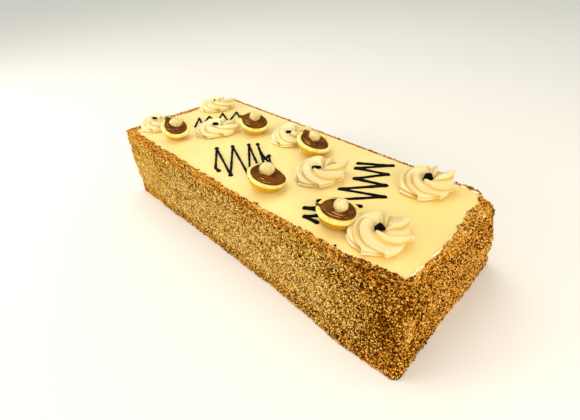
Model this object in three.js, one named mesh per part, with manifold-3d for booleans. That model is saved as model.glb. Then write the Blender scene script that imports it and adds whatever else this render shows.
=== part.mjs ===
// Long cream cake: a crumb-coated block with an icing top, chocolate zigzags, piped rosettes
// and small tartlets with a nut each.
// Millimetres. X runs along the cake, the front long side faces -Y, Z is up, and the origin
// lies on the underside below the middle of the cake.
import * as THREE from "three";
import { mergeVertices } from "three/addons/utils/BufferGeometryUtils.js";
import Module from "manifold-3d";

const wasm = await Module();
wasm.setup();

// Driving dimensions of the cake
const LENGTH = 400;
const WIDTH = 146;
const HEIGHT = 80.2;
const CORNER_RADIUS = 6;
const LEAST_RADIUS = 0.5;
// How far each corner stands from the plain block, at the base and at the top, as [x, y].
// The order is left front, right front, right rear, left rear.
const BASE_SPREAD = [[-0.6, -4], [4.6, -9.4], [-3.5, 7.6], [0, 1.7]];
const TOP_SPREAD = [[-4.6, -5], [-1.5, 3], [4.3, -1.2], [-3, 0.9]];
const FRONT_BOW = 3;
// Where the walls are pushed in or out: a ridge beside the right front corner, the round shoulder
// of the right rear corner, the bulge of the right end below it, and the sagged foot of the front
// and of the rear
const PUSHES = [
  { push: [4.6, 1.5], at: [201, -71, 44], spread: [9, 9, 15] },
  { push: [-9.4, -9.4], at: [200, 72, 80.2], spread: [15.2, 15.2, 32] },
  { push: [4.6, 0], at: [205, 42, 55], spread: [40, 22, 22] },
  { push: [0, -3.3], at: [149, -82, 0], spread: [50, 30, 20] },
  { push: [0, 5], at: [95, 82, 0], spread: [60, 30, 20] },
];
const ICING = 3;
const EDGE_ROUND = 0.6;
const GAP = 0.35;
// Steps along each side from the front one on, and round each corner
const SIDE_STEPS = [34, 12, 34, 12];
const CORNER_STEPS = 3;
const WALL_LEVELS = [2.5, 11, 22, 33, 44, 55, 66, 75];

// Relief of the crumb coat: depth, wave length and phase of its clumps and rolls, the sag half
// way up, the swell at the foot, and the hollow by the right front corner
const CLUMPS = { depth: 1.1, scale: 5.5, phase: 0.9 };
const ROLLS = { depth: 0.8, scale: 31, phase: 2.4 };
const SIDE_SAG = 1.6;
const FOOT_SWELL = { depth: 1.2, height: 5, spread: 6 };
const FOOT_TUCK = 0.8;
const HOLLOW = { depth: 2.5, at: [182, 45], spread: [14, 15] };
const CRUMB_COUNT = 44;
const CRUMB_SIZE = 1.9;
// The least and most of a crumb's size, height and thickness, as shares, and where on the wall
const CRUMB_SIZES = [0.8, 1.3];
const CRUMB_HEIGHTS = [0.75, 0.95];
const CRUMB_DEPTHS = [0.65, 0.85];
const CRUMB_LEVELS = [0.1, 0.92];

// How wide the crumbs lie on the top, at shares of the way round from the left front corner
const RIM_WIDTHS = [
  [0, 11], [0.02, 9], [0.05, 6.5], [0.1, 6.5], [0.15, 4.5], [0.2, 3], [0.36, 3], [0.4, 3],
  [0.41, 3.8], [0.426, 7.3], [0.44, 10], [0.456, 14.4], [0.466, 16], [0.491, 17], [0.501, 17],
  [0.508, 3.4], [0.52, 3.8], [0.53, 3], [0.86, 3], [0.9, 4], [0.97, 8], [1, 11],
];
const RIM_JAG = { depth: 1.3, scale: 6.1, phase: 0.4 };
const LEAST_RIM = 1.6;
// Section of that rim, as shares of its width and heights over the icing
const RIM_SECTION = [[0.22, -0.4], [0.55, 0.9], [0.86, 0.3]];
const RIM_LUMPS = { depth: 0.5, scale: 4.3, phase: 1.6 };

// Driving dimensions of the toppings
// The floor of a rosette's crater, as a share of its height
const ROSETTE_FLOOR = 0.585;
const CHIP_SINK = 0.3;
const ROSETTE_CRESTS = 7;
const ROSETTE_TWIST = 200;
const CREST_DEPTH = 2.2;
const SHELL_HEIGHT = 11.2;
const SHELL_FLOOR = 2.4;
const SHELL_STEPS = 16;
const FILLING_LEVEL = 9.6;
const FILLING_DIP = 0.8;
const NUT_RADIUS = 6.2;
const NUT_LENGTH = 1.08;
const NUT_POINT = 0.12;
const NUT_ROWS = 6;
const NUT_STEPS = 9;
const NUT_TURN = 50;
const NUT_LEAN = 62;
const LINE_WIDTH = 2.8;
const LINE_RISE = 1.3;
const LINE_SINK = 0.5;
const TURN_RADIUS = 2.1;
const TURN_RISE = 0.4;

// Rosettes: centre, radius, height, direction of the tail in degrees and how far the tail rises
const ROSETTES = [
  { at: [-183, 39], radius: 21.5, height: 10, tail: 42, rise: 2 },
  { at: [-181.5, -44.3], radius: 18.6, height: 11, tail: 60, rise: 1 },
  { at: [-114, -5.2], radius: 24.3, height: 9.8, tail: 40, rise: 2 },
  { at: [-29, 35.8], radius: 22.5, height: 13, tail: 80, rise: 0.5 },
  { at: [53, -2.5], radius: 23.5, height: 13, tail: 38, rise: 5.5 },
  { at: [152.5, -39.3], radius: 24.4, height: 13, tail: 46, rise: 3.5 },
  { at: [140, 45.5], radius: 25.2, height: 13, tail: 46, rise: 4.2 },
];

// The chip of chocolate on each rosette: length, width and height, its turn in degrees, and how
// far it lies from the rosette's middle in x and y and above the floor of the crater
const CHIPS = [
  { size: [3, 2, 3], turn: 40, aside: [-5.8, 0.8, 2.2] },
  { size: [9.4, 3, 3.4], turn: 46, aside: [-5.8, -1.2, 2.2] },
  { size: [8, 3.8, 4], turn: 42, aside: [-2.2, -0.6, 1.6] },
  { size: [8.6, 3.2, 3.6], turn: 46, aside: [2.5, -6.8, 3] },
  { size: [11, 3.6, 3.8], turn: 38, aside: [2.8, -7.2, 3.4] },
  { size: [10, 8.5, 6.6], turn: 44, aside: [1.2, -0.4, 0] },
  { size: [9, 5, 5.2], turn: 40, aside: [0.4, 0.6, 0.6] },
];

// Tartlets: middle of the foot, rim radius, width of the lip, lean in degrees about X and about
// Y, and the middle of the nut as [x, y, height over the foot].
const TARTLETS = [
  { at: [-138, -46], radius: 15.4, lip: 3.9, lean: [1, 29], nut: [-5.1, 3.5, 10.6] },
  { at: [-81.5, 22.2], radius: 17.2, lip: 3.6, lean: [0.5, 20], nut: [-5.6, 4.2, 11.8] },
  { at: [11.3, 26.8], radius: 18.3, lip: 4.2, lean: [9, 19], nut: [-4.3, 3, 13.4] },
  { at: [29.5, -50.3], radius: 17.7, lip: 3.4, lean: [12, 18], nut: [-5.6, 3.4, 12] },
  { at: [115.2, -46.3], radius: 18.1, lip: 4.1, lean: [6, 9.5], nut: [-1.6, 3.8, 12.2] },
];

// Chocolate lines, as the points where each stroke turns
const LINES = [
  [[-146, -17], [-168, 2], [-145.5, -6.8], [-163, 13.5], [-139, 7.8], [-158, 30], [-128, 18.7],
    [-149, 45], [-124, 34], [-134, 54], [-126, 53]],
  [[-30.6, -59.7], [-38, -58.6], [-75.4, -32.8], [-14.4, -57.1], [-66.2, -18.7], [4.5, -48.3],
    [-56.4, -4.6], [-2.8, -31.4], [-2.8, -24.8], [-49.5, 2.4], [-29.5, -8.7], [-2.7, -17.8],
    [-17.9, -7.4], [-16, -14]],
  [[64, 40], [93, 58], [69, 31], [100, 41], [81, 15], [111, 24], [83, -8], [122, 8],
    [82, -34], [115, -17], [81, -49], [96.5, -42.5], [97, -50], [90, -57.5], [104, -56]],
];

// Colours from the photo
const CRUMB = 0xa8803f;
const ICING_YELLOW = 0xf6e291;
const CREAM = 0xfbeab8;
const PASTRY = 0xf5d873;
const CHOCOLATE = 0x5f3514;
const NUT = 0xe8d6a4;

const TURN = 2 * Math.PI;
const radians = THREE.MathUtils.degToRad;

// Random numbers from 0 to 1 in a fixed order
function randomFrom(seed) {
  let state = seed;
  return () => {
    state = (state * 1664525 + 1013904223) % 4294967296;
    return state / 4294967296;
  };
}

// Smooth noise from -1 to 1: three waves of unlike length laid across each other
function noise(x, y, scale, phase = 0) {
  const a = Math.sin((x * 1.3 + y * 0.7) / scale + phase);
  const b = Math.sin((x * 0.6 - y * 1.7) / scale + 2.1 * phase + 1.7);
  const c = Math.sin((x * 2.9 + y * 2.3) / scale + 3.3 * phase + 4.2);
  return (a + b + c) / 3;
}

// A closed surface from rings of points that all have as many points. A first or last ring of
// one point closes that end.
function geometryFromRings(rings) {
  const points = rings.flat();
  const starts = [];
  rings.reduce((sum, ring) => {
    starts.push(sum);
    return sum + ring.length;
  }, 0);
  const faces = [];
  for (let k = 1; k < rings.length; k += 1) {
    const lower = rings[k - 1];
    const upper = rings[k];
    const count = Math.max(lower.length, upper.length);
    for (let j = 0; j < count; j += 1) {
      const next = (j + 1) % count;
      const a = starts[k - 1] + (lower.length > 1 ? j : 0);
      const b = starts[k - 1] + (lower.length > 1 ? next : 0);
      const c = starts[k] + (upper.length > 1 ? next : 0);
      const d = starts[k] + (upper.length > 1 ? j : 0);
      if (lower.length > 1) faces.push(a, b, c);
      if (upper.length > 1) faces.push(a, c, d);
    }
  }
  const geometry = new THREE.BufferGeometry();
  geometry.setAttribute("position", new THREE.Float32BufferAttribute(points.flat(), 3));
  geometry.setIndex(faces);
  return geometry;
}

// A closed three.js geometry as a solid, and back
function solid(geometry) {
  const bare = geometry.clone();
  bare.deleteAttribute("normal");
  bare.deleteAttribute("uv");
  const merged = mergeVertices(bare, 1e-4);
  return new wasm.Manifold(
    new wasm.Mesh({
      numProp: 3,
      vertProperties: new Float32Array(merged.attributes.position.array),
      triVerts: new Uint32Array(merged.index.array),
    }),
  );
}

function geometryOf(body) {
  const mesh = body.getMesh();
  const geometry = new THREE.BufferGeometry();
  geometry.setAttribute("position", new THREE.BufferAttribute(mesh.vertProperties, 3));
  geometry.setIndex(new THREE.BufferAttribute(mesh.triVerts, 1));
  return geometry;
}

// The largest piece of a solid, so that a loose scrap left by a cut is dropped
function mainPiece(body) {
  const pieces = body.decompose();
  return pieces.reduce((best, piece) => (piece.volume() > best.volume() ? piece : best));
}

function makeMesh(name, geometry, color, roughness) {
  const flat = geometry.index ? geometry.toNonIndexed() : geometry;
  flat.computeVertexNormals();
  const material = new THREE.MeshStandardMaterial({ color, roughness, metalness: 0 });
  const mesh = new THREE.Mesh(flat, material);
  mesh.name = name;
  return mesh;
}

// Shares of the way round the plain block at which its outline has a point, with the side and
// the part of that side or of the corner after it
function outlinePlaces() {
  const arc = (CORNER_RADIUS * TURN) / 4;
  const sides = [LENGTH, WIDTH, LENGTH, WIDTH].map((length) => length - 2 * CORNER_RADIUS);
  const whole = sides.reduce((sum, length) => sum + length + arc, 0);
  let way = 0;
  return sides.flatMap((length, side) => {
    const start = way;
    way += length + arc;
    const straight = Array.from({ length: SIDE_STEPS[side] }, (_, j) => {
      const part = j / SIDE_STEPS[side];
      return { share: (start + part * length) / whole, side, part, corner: false };
    });
    const round = Array.from({ length: CORNER_STEPS }, (_, j) => {
      const part = j / CORNER_STEPS;
      return { share: (start + length + part * arc) / whole, side, part, corner: true };
    });
    return [...straight, ...round];
  });
}

const OUTLINE = outlinePlaces();
const CORNER_SIGNS = [[1, -1], [1, 1], [-1, 1], [-1, -1]];

// A point of the plain block's outline, drawn in by inset, with the direction that faces out
function blockOutline({ side, part, corner }, inset) {
  const radius = Math.max(CORNER_RADIUS - inset, LEAST_RADIUS);
  const halfLength = LENGTH / 2 - inset - radius;
  const halfWidth = WIDTH / 2 - inset - radius;
  const facing = ((side - 1) * TURN) / 4;
  const angle = corner ? facing + (part * TURN) / 4 : facing;
  const out = [Math.cos(angle), Math.sin(angle)];
  const [signX, signY] = CORNER_SIGNS[side];
  const back = corner ? 0 : 2 * (1 - part) * (side % 2 ? halfWidth : halfLength);
  return {
    x: signX * halfLength + radius * out[0] + back * out[1],
    y: signY * halfWidth + radius * out[1] - back * out[0],
    out,
  };
}

// Height of a smooth hill with a top of 1, from its distances to the top and its spreads
function hill(distances, spreads) {
  return Math.exp(-distances.reduce((sum, far, axis) => sum + (far / spreads[axis]) ** 2, 0));
}

// The cake's own outline at a height: the block with its four corners spread, the top edge of its
// front bowed outwards, and its pushes
function cakeOutline(place, height, inset = 0) {
  const { x, y, out } = blockOutline(place, inset);
  const along = (2 * x) / LENGTH;
  const across = (2 * y) / WIDTH;
  const weights = [
    (1 - along) * (1 - across), (1 + along) * (1 - across),
    (1 + along) * (1 + across), (1 - along) * (1 + across),
  ];
  const up = height / HEIGHT;
  const moved = [x, y];
  weights.forEach((weight, corner) => {
    moved.forEach((_, axis) => {
      const spread = (1 - up) * BASE_SPREAD[corner][axis] + up * TOP_SPREAD[corner][axis];
      moved[axis] += (weight / 4) * spread;
    });
  });
  const front = Math.max(-across, 0) ** 3 * Math.max(1 - along ** 2, 0);
  moved[1] -= FRONT_BOW * front * up ** 2;
  const [spreadX, spreadY] = moved;
  PUSHES.forEach(({ push, at, spread }) => {
    const near = hill([spreadX - at[0], spreadY - at[1], height - at[2]], spread);
    moved[0] += near * push[0];
    moved[1] += near * push[1];
  });
  return { x: moved[0], y: moved[1], out };
}

// How wide the crumb rim lies on the top there
function rimInset({ share }) {
  const next = RIM_WIDTHS.findIndex(([start]) => start > share);
  const [[before, narrow], [after, wide]] = [RIM_WIDTHS[next - 1], RIM_WIDTHS[next]];
  const width = narrow + ((wide - narrow) * (share - before)) / (after - before);
  const way = share * 2 * (LENGTH + WIDTH);
  const jag = RIM_JAG.depth * noise(way, 0, RIM_JAG.scale, RIM_JAG.phase);
  return Math.max(width + jag, LEAST_RIM);
}

// Crumb coat: the walls belly out a little half way up and are pitted by clumps of crumbs
function wallPoint(place, height) {
  const { x, y, out } = cakeOutline(place, height);
  const belly = SIDE_SAG * Math.sin((Math.PI * height) / HEIGHT);
  const clumps = noise(x + 1.9 * height, y - 1.3 * height, CLUMPS.scale, CLUMPS.phase);
  const rolls = noise(x - height, y + 2 * height, ROLLS.scale, ROLLS.phase);
  const foot = hill([height - FOOT_SWELL.height], [FOOT_SWELL.spread]);
  const hollow = hill([x - HOLLOW.at[0], height - HOLLOW.at[1]], HOLLOW.spread);
  const front = out[1] < -0.9 ? 1 : 0;
  const relief = CLUMPS.depth * clumps + ROLLS.depth * rolls + FOOT_SWELL.depth * foot;
  const swell = belly + relief - front * HOLLOW.depth * hollow;
  return [x + swell * out[0], y + swell * out[1], height];
}

function crumbCoat() {
  const recess = HEIGHT - ICING - GAP;
  const around = (make) => OUTLINE.map(make);
  const onTop = (share, rise) => (place) => {
    const { x, y } = cakeOutline(place, HEIGHT, share * rimInset(place));
    const lump = RIM_LUMPS.depth * noise(x, y, RIM_LUMPS.scale, RIM_LUMPS.phase);
    return [x, y, HEIGHT + rise + lump];
  };
  const rings = [
    [[0, 0, 0]],
    around((place) => {
      const { x, y, out } = cakeOutline(place, 0);
      return [x - FOOT_TUCK * out[0], y - FOOT_TUCK * out[1], 0];
    }),
    ...WALL_LEVELS.map((height) => around((place) => wallPoint(place, height))),
    ...RIM_SECTION.map(([share, rise]) => around(onTop(share, rise))),
    around((place) => {
      const { x, y } = cakeOutline(place, HEIGHT, rimInset(place));
      return [x, y, recess];
    }),
    [[0, 0, recess]],
  ];
  return solid(geometryFromRings(rings));
}

// Whether a piped rosette covers a place, or comes within a margin of it
function underRosette([x, y], margin) {
  return ROSETTES.some(({ at, radius }) => Math.hypot(x - at[0], y - at[1]) < radius + margin);
}

// The largest crumbs, which stand out of the coat all round the cake
function looseCrumbs() {
  const random = randomFrom(11);
  const within = ([least, most]) => least + (most - least) * random();
  const lift = new THREE.Matrix4();
  return Array.from({ length: CRUMB_COUNT }, (_, index) => {
    const share = (index + within([0, 0.8])) / CRUMB_COUNT;
    const place = OUTLINE[Math.floor(share * OUTLINE.length)];
    const rim = cakeOutline(place, HEIGHT, rimInset(place) / 2);
    const onRim = index % 3 === 0 && !underRosette([rim.x, rim.y], 2 * CRUMB_SIZE);
    const height = HEIGHT * within(CRUMB_LEVELS);
    const size = CRUMB_SIZE * within(CRUMB_SIZES);
    const crumb = new THREE.IcosahedronGeometry(size, 0);
    crumb.scale(1, within(CRUMB_HEIGHTS), within(CRUMB_DEPTHS));
    crumb.rotateX(TURN * random());
    crumb.rotateZ(TURN * random());
    const middle = onRim ? [rim.x, rim.y, HEIGHT + CRUMB_SIZE / 3] : wallPoint(place, height);
    return solid(crumb.applyMatrix4(lift.makeTranslation(...middle)));
  });
}

// Icing: a slab with the rim's jagged outline, its top edge a little rounded
function icingSlab() {
  const around = (inset, height) =>
    OUTLINE.map((place) => {
      const { x, y } = cakeOutline(place, HEIGHT, rimInset(place) + GAP + inset);
      return [x, y, height];
    });
  const rings = [around(0, HEIGHT - ICING), around(EDGE_ROUND, HEIGHT)];
  const ends = [[[0, 0, HEIGHT - ICING]], [[0, 0, HEIGHT]]];
  return solid(geometryFromRings([ends[0], ...rings, ends[1]]));
}

// One straight stroke of chocolate, wider below than on top
function stroke([ax, ay], [bx, by]) {
  const length = Math.hypot(bx - ax, by - ay);
  const side = [-(by - ay) / length, (bx - ax) / length];
  const corner = (x, y, width, z) => [x + width * side[0], y + width * side[1], z];
  const low = HEIGHT - LINE_SINK;
  const high = HEIGHT + LINE_RISE;
  const foot = LINE_WIDTH / 2;
  const ridge = LINE_WIDTH / 4;
  const section = (x, y) => [
    corner(x, y, -foot, low), corner(x, y, foot, low),
    corner(x, y, ridge, high), corner(x, y, -ridge, high),
  ];
  const rings = [[[ax, ay, HEIGHT]], section(ax, ay), section(bx, by), [[bx, by, HEIGHT]]];
  return solid(geometryFromRings(rings));
}

// The blob that a stroke leaves where it starts, turns or ends
function strokeTurn([x, y]) {
  const height = LINE_SINK + LINE_RISE + TURN_RISE;
  const blob = new THREE.CylinderGeometry(TURN_RADIUS / 2, TURN_RADIUS, height, 5);
  blob.rotateX(TURN / 4);
  blob.translate(x, y, HEIGHT - LINE_SINK + height / 2);
  return solid(blob);
}

function chocolateLines() {
  return LINES.flatMap((points) => [
    ...points.map(strokeTurn),
    ...points.slice(1).map((point, index) => stroke(points[index], point)),
  ]);
}

// Section of a rosette from the edge of its foot up over the crests and down to its middle, as
// shares of its radius and of its height. The second and third rows are the lower turn of cream
// and the groove above it.
const ROSETTE_SECTION = [
  [0.8, 0], [0.9, 0.13], [0.88, 0.27], [0.96, 0.44], [0.9, 0.68], [0.71, 0.88], [0.5, 0.95],
  [0.33, 0.86], [0.19, 0.66],
];
// The crests' relief over the four columns of one crest, how deep it is at the section's ends, and
// how much of it points up below and above the shoulder
const SHOULDER_ROW = 4;
const CREST_SHAPE = [1, 0.25, -0.55, 0.1];
const CREST_ENDS = 0.35;
const CREST_RISE = [0.15, 0.8];
// Where the drawn-out tail starts, as a share of the section, and how far out it is pulled
const TAIL = { spread: 17, at: 0.48, along: 0.2, out: 0.55 };
const LOWER_TURN = { at: 250, spread: 55, swell: 0.13 };

// A bump from 0 to 1 around an angle, all in degrees
function bump(angle, middle, spread) {
  const away = ((((angle - middle) % 360) + 540) % 360) - 180;
  return Math.exp(-((away / spread) ** 2));
}

// Piped rosette: the columns of points run along the crests, which turn round the middle on
// their way in, and every fourth column is a crest. The tail is drawn up and out of one crest.
function rosetteBody({ radius, height, tail, rise }) {
  const count = ROSETTE_CRESTS * CREST_SHAPE.length;
  const last = ROSETTE_SECTION.length - 1;
  const rings = ROSETTE_SECTION.map(([out, up], row) => {
    const way = row / last;
    return Array.from({ length: count }, (_, column) => {
      const degrees = (360 * column) / count - ROSETTE_TWIST * way;
      const full = CREST_ENDS + (1 - CREST_ENDS) * Math.sin(Math.PI * way);
      const depth = row === 0 ? 0 : CREST_DEPTH * full;
      const lift = (depth / 2) * CREST_SHAPE[column % CREST_SHAPE.length];
      const slope = CREST_RISE[row < SHOULDER_ROW ? 0 : 1];
      const pull = bump(degrees, tail, TAIL.spread) * hill([way - TAIL.at], [TAIL.along]);
      const lower = LOWER_TURN.swell * bump(degrees, LOWER_TURN.at, LOWER_TURN.spread);
      const foot = row === 1 ? lower : 0;
      const r = radius * (out + foot) + lift * (1 - slope) + TAIL.out * rise * pull;
      const z = height * up + lift * slope + rise * pull;
      const angle = radians(degrees);
      return [r * Math.cos(angle), r * Math.sin(angle), Math.max(z, 0)];
    });
  });
  return solid(geometryFromRings([[[0, 0, 0]], ...rings, [[0, 0, ROSETTE_FLOOR * height]]]));
}

// Chip of chocolate that lies on a rosette, over the floor of its crater: a wedge with a ridge
const CHIP_TOP = 0.24;
const CHIP_FOOT = 0.5;
const CHIP_SIDES = 5;

function chocolateChip({ size, turn, aside }, floor) {
  const [length, width, height] = size;
  const chip = new THREE.CylinderGeometry(CHIP_TOP, CHIP_FOOT, 1, CHIP_SIDES);
  chip.rotateX(TURN / 4);
  chip.scale(length, width, height);
  chip.rotateZ(radians(turn));
  chip.translate(aside[0], aside[1], floor + aside[2] - CHIP_SINK + height / 2);
  return solid(chip);
}

// A tartlet's outer bowl from its middle to its rim, as shares of its rim radius and its height:
// a flat foot, a steep wall and a lip that stands out over it
const BOWL_SECTION = [[0, 0], [0.5, 0], [0.77, 0.06], [0.92, 0.66], [1, 0.8], [0.985, 0.95]];
// The bowl's inside as shares of the radius inside the lip and of the height
const LIP_TOP = 0.97;
const INNER_WALL = [0.9, 0.5];
const INNER_FOOT = 0.62;

// The outer bowl as a profile for a rim radius; grow makes it a little larger all round
function bowlProfile(radius, grow = 0) {
  return BOWL_SECTION.map(([out, up], index) => {
    const side = index / (BOWL_SECTION.length - 1);
    const r = radius * out + (index ? grow * Math.sqrt(side) : 0);
    return new THREE.Vector2(r, SHELL_HEIGHT * up - grow * (1 - side));
  });
}

function pastryShell({ radius, lip }) {
  const inner = radius - lip;
  const profile = [
    ...bowlProfile(radius),
    new THREE.Vector2(radius - lip / 2, SHELL_HEIGHT),
    new THREE.Vector2(inner, LIP_TOP * SHELL_HEIGHT),
    new THREE.Vector2(INNER_WALL[0] * inner, INNER_WALL[1] * SHELL_HEIGHT),
    new THREE.Vector2(INNER_FOOT * inner, SHELL_FLOOR),
    new THREE.Vector2(0, SHELL_FLOOR),
  ];
  return new THREE.LatheGeometry(profile, SHELL_STEPS);
}

// Chocolate filling, a little hollow towards its middle
function chocolateFilling({ radius, lip }) {
  const inner = radius - lip - GAP;
  const part = (FILLING_LEVEL / SHELL_HEIGHT - INNER_WALL[1]) / (LIP_TOP - INNER_WALL[1]);
  const wall = INNER_WALL[0] + (1 - INNER_WALL[0]) * part;
  const profile = [
    new THREE.Vector2(0, SHELL_FLOOR + GAP),
    new THREE.Vector2((INNER_FOOT - 0.02) * inner, SHELL_FLOOR + GAP),
    new THREE.Vector2((INNER_WALL[0] - 0.02) * inner, INNER_WALL[1] * SHELL_HEIGHT + GAP),
    new THREE.Vector2(wall * inner, FILLING_LEVEL),
    new THREE.Vector2(0, FILLING_LEVEL - FILLING_DIP),
  ];
  return new THREE.LatheGeometry(profile, SHELL_STEPS);
}

// Skinned nut: a round body drawn to a blunt point, lying on its side
function nutKernel(radius) {
  const points = Array.from({ length: NUT_ROWS + 1 }, (_, row) => {
    const angle = (Math.PI * row) / NUT_ROWS;
    const point = 1 - NUT_POINT * (1 - Math.cos(angle));
    const edge = row === 0 || row === NUT_ROWS ? 0 : radius * Math.sin(angle) * point;
    return new THREE.Vector2(edge, -radius * NUT_LENGTH * Math.cos(angle));
  });
  return new THREE.LatheGeometry(points, NUT_STEPS);
}

// Turns a piece of a tartlet about the middle of its foot and sets it on the icing, so that the
// lowest point of the leaning bowl stands one gap clear
function tartletPlace({ at, radius, lean }) {
  const upright = new THREE.Matrix4().makeRotationX(TURN / 4);
  const leaning = new THREE.Matrix4().makeRotationFromEuler(
    new THREE.Euler(-radians(lean[0]), radians(lean[1]), 0),
  );
  const place = leaning.multiply(upright);
  const bowl = new THREE.LatheGeometry(bowlProfile(radius), SHELL_STEPS).applyMatrix4(place);
  bowl.computeBoundingBox();
  const height = HEIGHT + GAP - bowl.boundingBox.min.z;
  return new THREE.Matrix4().makeTranslation(at[0], at[1], height).multiply(place);
}

const cake = new THREE.Group();

const coat = looseCrumbs().reduce((sum, crumb) => sum.add(crumb), crumbCoat());
cake.add(makeMesh("cake_body", geometryOf(mainPiece(coat)), CRUMB, 0.9));

const raisedCoat = mainPiece(coat).translate([0, 0, GAP]);

const icing = chocolateLines().reduce((sum, line) => sum.add(line), icingSlab());
cake.add(makeMesh("icing_top", geometryOf(icing), ICING_YELLOW, 0.5));

const bowls = TARTLETS.map((tartlet) => {
  const profile = bowlProfile(tartlet.radius, GAP);
  profile.push(new THREE.Vector2(tartlet.radius + GAP, SHELL_HEIGHT + GAP));
  profile.push(new THREE.Vector2(0, SHELL_HEIGHT + GAP));
  const bowl = new THREE.LatheGeometry(profile, SHELL_STEPS);
  return solid(bowl.applyMatrix4(tartletPlace(tartlet)));
});

ROSETTES.forEach((rosette, index) => {
  const floor = ROSETTE_FLOOR * rosette.height;
  const piped = rosetteBody(rosette).add(chocolateChip(CHIPS[index], floor));
  const placed = piped.translate([rosette.at[0], rosette.at[1], HEIGHT + GAP]);
  const seated = placed.subtract(raisedCoat);
  const cut = bowls.reduce((sum, bowl) => sum.subtract(bowl), seated);
  const geometry = geometryOf(mainPiece(cut));
  cake.add(makeMesh(`rosette_${index + 1}`, geometry, CREAM, 0.45));
});

TARTLETS.forEach((tartlet, index) => {
  const place = tartletPlace(tartlet);
  const number = index + 1;
  const [nutX, nutY, nutHeight] = tartlet.nut;
  const nutPlace = new THREE.Matrix4().makeTranslation(nutX, nutHeight, -nutY);
  nutPlace.multiply(new THREE.Matrix4().makeRotationY(radians(NUT_TURN * index)));
  nutPlace.multiply(new THREE.Matrix4().makeRotationZ(radians(NUT_LEAN)));
  const nut = nutKernel(NUT_RADIUS).applyMatrix4(nutPlace);
  const bed = solid(nutKernel(NUT_RADIUS + GAP).applyMatrix4(nutPlace));
  const shell = mainPiece(solid(pastryShell(tartlet)).subtract(bed));
  const filling = mainPiece(solid(chocolateFilling(tartlet)).subtract(bed));
  const pieces = [
    makeMesh(`tartlet_shell_${number}`, geometryOf(shell), PASTRY, 0.6),
    makeMesh(`tartlet_filling_${number}`, geometryOf(filling), CHOCOLATE, 0.25),
    makeMesh(`hazelnut_${number}`, nut, NUT, 0.55),
  ];
  pieces.forEach((piece) => {
    piece.applyMatrix4(place);
    cake.add(piece);
  });
});

export default cake;
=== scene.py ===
import bpy
import numpy as np
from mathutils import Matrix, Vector


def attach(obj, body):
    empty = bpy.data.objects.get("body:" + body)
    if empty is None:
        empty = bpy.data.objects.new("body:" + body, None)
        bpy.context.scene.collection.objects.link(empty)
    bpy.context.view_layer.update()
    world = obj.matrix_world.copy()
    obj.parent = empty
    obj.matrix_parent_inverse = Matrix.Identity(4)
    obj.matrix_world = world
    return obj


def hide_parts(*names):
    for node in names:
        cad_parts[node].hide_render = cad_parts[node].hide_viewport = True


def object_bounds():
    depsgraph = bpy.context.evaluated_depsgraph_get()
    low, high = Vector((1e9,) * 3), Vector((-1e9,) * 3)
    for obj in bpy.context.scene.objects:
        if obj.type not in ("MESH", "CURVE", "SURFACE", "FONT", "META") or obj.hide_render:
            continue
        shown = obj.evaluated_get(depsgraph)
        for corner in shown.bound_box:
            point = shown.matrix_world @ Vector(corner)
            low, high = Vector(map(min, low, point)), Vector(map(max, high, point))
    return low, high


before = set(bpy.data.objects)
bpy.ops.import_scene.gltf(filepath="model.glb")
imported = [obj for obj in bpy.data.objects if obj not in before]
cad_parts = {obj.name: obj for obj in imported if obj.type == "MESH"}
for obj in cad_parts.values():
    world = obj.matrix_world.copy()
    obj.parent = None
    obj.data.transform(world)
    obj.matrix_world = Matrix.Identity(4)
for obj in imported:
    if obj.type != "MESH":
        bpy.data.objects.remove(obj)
cad_box = [list(corner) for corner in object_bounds()]

# Crumb coat: the sides of the cake, spread with cream and pressed full of dry cake crumbs, which
# also lie in a ragged band over the top edge. Under them is the cake itself, a block with slightly
# splayed corners that stands on its flat underside, painted dark brown as the shade in the gaps
# between the crumbs. Sizes are in millimetres.
MM = 0.001
LENGTH = 400
WIDTH = 146
HEIGHT = 80.2
CORNER_RADIUS = 6
# How far the corners of the foot and of the top lie from a plain block's, from the left front round
BASE_SPLAY = np.array([[-0.6, -4], [4.6, -9.4], [-3.5, 7.6], [0, 1.7]])
TOP_SPLAY = np.array([[-4.6, -5], [-1.5, 3], [4.3, -1.2], [-3, 0.9]])
FRONT_BOW = 3
# Where the walls are pushed in or out, as push, place and reach: a ridge beside the right front
# corner, the round shoulder of the right rear corner, the bulge of the right end below it, and the
# sagged foot of the front and of the rear
PUSHES = [
    ((4.6, 1.5), (201, -71, 44), (9, 9, 15)),
    ((-9.4, -9.4), (200, 72, 80.2), (15.2, 15.2, 32)),
    ((4.6, 0), (205, 42, 55), (40, 22, 22)),
    ((0, -3.3), (149, -82, 0), (50, 30, 20)),
    ((0, 5), (95, 82, 0), (60, 30, 20)),
]
SIDE_SAG = 1.6
FOOT_SWELL = 1.2
CLUMP_SIZE, CLUMP_RELIEF = 5.5, 0.8
ROLL_SIZE, ROLL_RELIEF = 31, 0.8
# The hollow of the front, as its place along X and up, how far it reaches and its depth
HOLLOW_AT, HOLLOW_REACH, HOLLOW_DEPTH = (182, 45), (14, 15), 2.5
RIM_JAG = 1.3
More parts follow.
